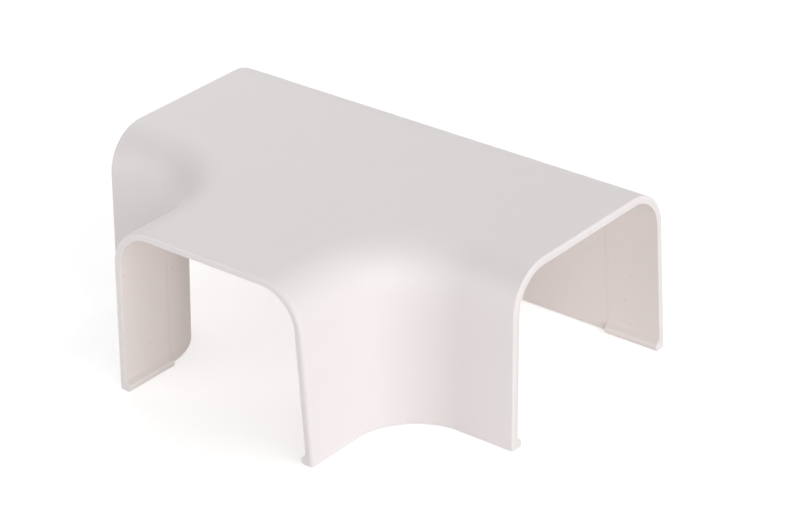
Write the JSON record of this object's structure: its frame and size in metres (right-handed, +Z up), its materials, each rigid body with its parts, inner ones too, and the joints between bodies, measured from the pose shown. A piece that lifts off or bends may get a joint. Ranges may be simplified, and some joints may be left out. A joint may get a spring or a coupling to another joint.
{
  "type": "trunking tee",
  "caption": "One-piece moulded tee cover for rectangular cable trunking: a thin shell with rounded edges, hollow corners and inward snap lips at each open end.",
  "frame": {"origin": "under the middle of the part's outline, on the surface that the feet of the snap lips stand on", "axes": "+X along the straight run, -Y out of the branch, +Z up from the feet to the roof"},
  "size_m": [0.1328, 0.0986, 0.0479],
  "materials": {
    "shell": "smooth off-white moulded PVC with a soft satin sheen"
  },
  "bodies": {
    "root": {"tee_cover": "shell"}
  },
  "joints": []
}
